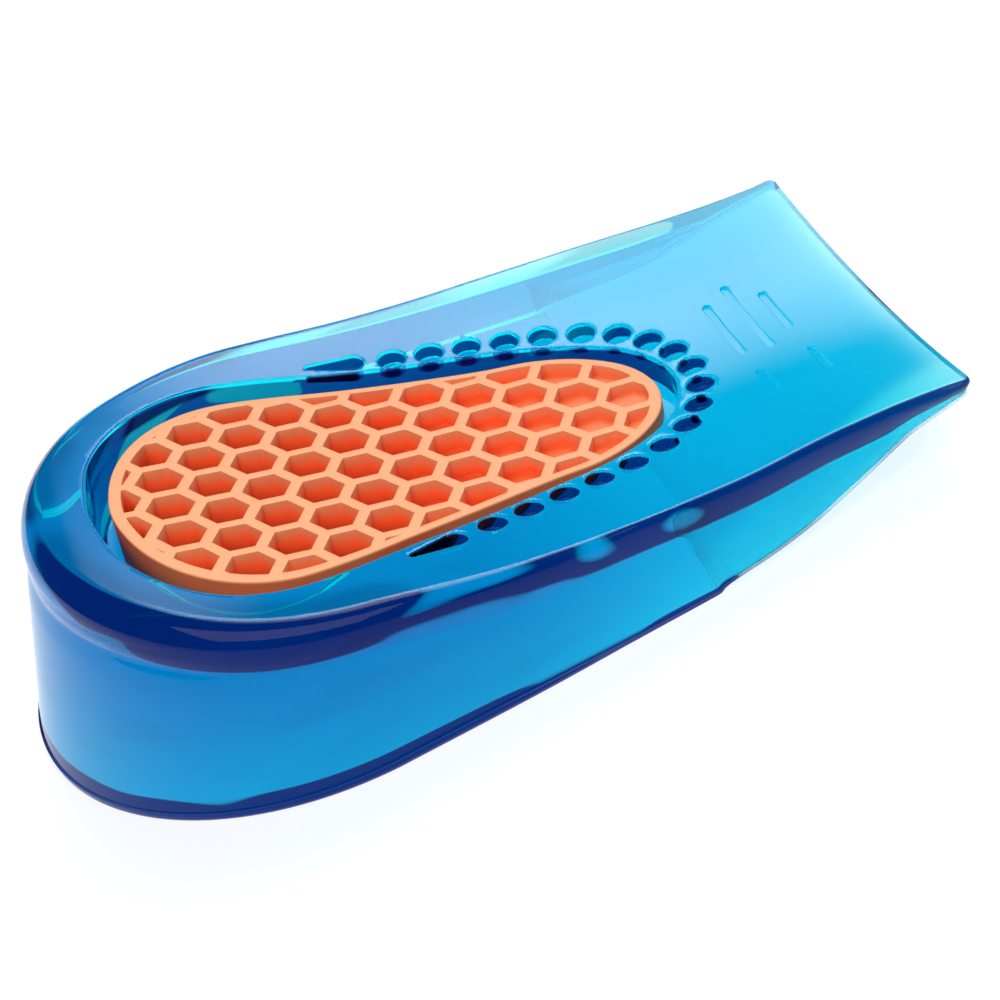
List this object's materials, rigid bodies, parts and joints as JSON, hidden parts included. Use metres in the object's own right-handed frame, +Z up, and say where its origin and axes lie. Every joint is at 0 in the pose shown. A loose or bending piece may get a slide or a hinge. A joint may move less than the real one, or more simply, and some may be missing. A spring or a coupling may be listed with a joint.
{
  "type": "heel cup cushion with honeycomb insert",
  "caption": "Clear gel heel cup: a wedge with a round raised heel and a thin toe edge, and a soft honeycomb insert in an egg-shaped pocket ringed by small blind recesses.",
  "frame": {"origin": "middle of the overall footprint, on the flat underside", "axes": "+X along the length from the round heel to the thin toe edge, +Y across the width, +Z up out of the flat underside"},
  "size_m": [0.108, 0.0652, 0.0259],
  "materials": {
    "gel": "glossy clear blue gel",
    "soft_foam": "matte soft orange"
  },
  "bodies": {
    "root": {"gel_cup": "gel", "honeycomb_insert": "soft_foam"}
  },
  "joints": []
}
